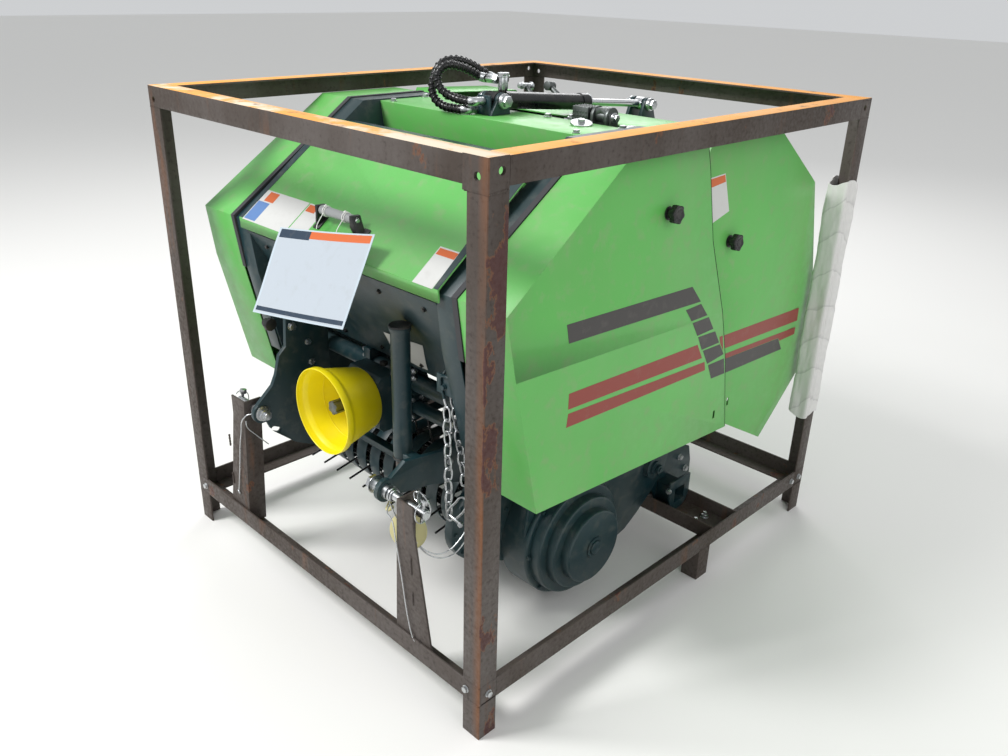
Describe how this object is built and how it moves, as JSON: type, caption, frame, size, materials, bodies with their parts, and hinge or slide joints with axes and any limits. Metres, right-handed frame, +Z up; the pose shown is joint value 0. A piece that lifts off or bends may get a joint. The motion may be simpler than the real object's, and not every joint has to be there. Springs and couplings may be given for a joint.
{
  "type": "round baler",
  "caption": "Compact tractor-mounted round baler with opening tailgate, drive shaft, pickup, hood and stand, resting in its angle-iron transport crate.",
  "frame": {"origin": "on the ground, below the middle of the crate", "axes": "+X to the machine's left side, -Y towards the tractor (hitch end), +Z up"},
  "size_m": [1.205, 1.381, 1.316],
  "materials": {
    "crate_steel": "rough",
    "dark_paint": "satin",
    "green_paint": "satin",
    "bright_steel": "satin",
    "black_rubber": "matte",
    "black_plastic": "matte",
    "guard_plastic": "matte",
    "foam": "matte",
    "card": "matte"
  },
  "bodies": {
    "frame": {"crate_posts": "crate_steel", "crate_top_rails": "crate_steel", "crate_base_rails": "crate_steel", "crate_feet": "crate_steel", "crate_beams": "crate_steel", "hitch_uprights": "crate_steel", "post_sleeve": "foam", "side_plates": "dark_paint", "front_wall": "dark_paint", "cross_tube": "dark_paint", "hitch_crossbar": "dark_paint", "top_plate": "green_paint", "hood_hinge": "dark_paint", "gate_hinge_bosses": "dark_paint", "rear_legs": "dark_paint", "axle_sockets": "dark_paint", "gearbox": "dark_paint", "pto_guard": "guard_plastic", "drive_tube": "dark_paint", "hitch_plate_right": "dark_paint", "hitch_plate_left": "dark_paint", "hitch_pins": "bright_steel", "stand_tube": "dark_paint", "pickup_bands": "dark_paint", "pickup_frame": "dark_paint", "pickup_covers": "dark_paint", "pickup_arm": "dark_paint", "front_rollers": "bright_steel", "side_cover_right": "green_paint", "side_cover_left": "green_paint", "cover_seals": "black_rubber", "cover_knobs": "black_plastic", "cylinder_clevis": "dark_paint", "twine_drive": "bright_steel", "hoses": "black_rubber", "hose_ends": "bright_steel", "chain_bracket": "dark_paint", "chain": "bright_steel"},
    "pto_shaft": {"pto_shaft": "bright_steel"},
    "stand_leg": {"stand_leg": "crate_steel"},
    "pickup_reel": {"pickup_reel": "dark_paint"},
    "hood": {"hood": "green_paint", "hood_handle": "black_plastic", "hang_tag": "card"},
    "tailgate": {"gate_plates": "dark_paint", "gate_hinge_arms": "dark_paint", "gate_shell": "green_paint", "gate_rollers": "bright_steel", "gate_cover_right": "green_paint", "gate_cover_left": "green_paint", "gate_knobs": "black_plastic", "rod_bracket": "dark_paint"},
    "cylinder_barrel": {"cylinder_barrel": "black_plastic"},
    "cylinder_rod": {"cylinder_rod": "bright_steel"}
  },
  "joints": [
    {"name": "pto_shaft_spin", "type": "hinge", "parent": "frame", "child": "pto_shaft", "pos_m": [0, -0.6, 0.55], "axis": [0, 1, 0], "continuous": true},
    {"name": "stand_slide", "type": "slide", "parent": "frame", "child": "stand_leg", "axis": [0, 0, 1], "range_m": [-0.3, 0]},
    {"name": "pickup_reel_spin", "type": "hinge", "parent": "frame", "child": "pickup_reel", "pos_m": [0, -0.325, 0.29], "axis": [1, 0, 0], "continuous": true},
    {"name": "hood_hinge", "type": "hinge", "parent": "frame", "child": "hood", "pos_m": [0, -0.325, 1.15], "axis": [-1, 0, 0], "range_deg": [0, 38]},
    {"name": "tailgate_hinge", "type": "hinge", "parent": "frame", "child": "tailgate", "pos_m": [0, 0.028, 1.118], "axis": [1, 0, 0], "range_deg": [0, 25]},
    {"name": "cylinder_pivot", "type": "hinge", "parent": "frame", "child": "cylinder_barrel", "pos_m": [0, -0.09, 1.221], "axis": [1, 0, 0], "range_deg": [0, 20.3]},
    {"name": "cylinder_stroke", "type": "slide", "parent": "cylinder_barrel", "child": "cylinder_rod", "axis": [0, 0.9964, -0.0851], "range_m": [-0.0479, 0]}
  ],
  "couplings": [
    {"joint": "cylinder_pivot", "follows": "tailgate_hinge", "ratio": 0.8085},
    {"joint": "cylinder_stroke", "follows": "tailgate_hinge", "m_per_rad": -0.1095}
  ]
}
